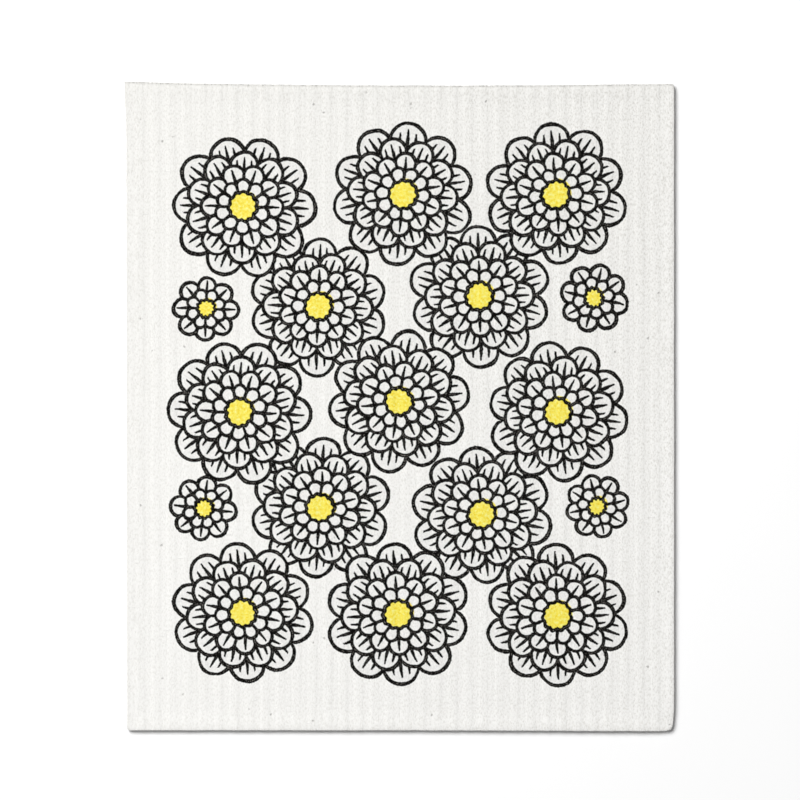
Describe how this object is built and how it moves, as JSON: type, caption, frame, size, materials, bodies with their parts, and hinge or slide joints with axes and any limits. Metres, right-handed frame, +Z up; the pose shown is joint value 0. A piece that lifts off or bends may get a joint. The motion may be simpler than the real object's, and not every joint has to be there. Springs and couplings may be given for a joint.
{
  "type": "washcloth",
  "caption": "Flat rectangular washcloth of ribbed absorbent sponge cloth, with a printed line pattern on its upper face.",
  "frame": {"origin": "under the middle of the cloth, on the surface that it lies on", "axes": "+Z up, out of the printed face; +Y along the length and the ribs, towards the far cut edge; +X across the ribs"},
  "size_m": [0.1694, 0.2, 0.0018],
  "materials": {
    "cloth": "matt, fibrous and ribbed, with a black and yellow print"
  },
  "bodies": {
    "root": {"washcloth": "cloth"}
  },
  "joints": []
}
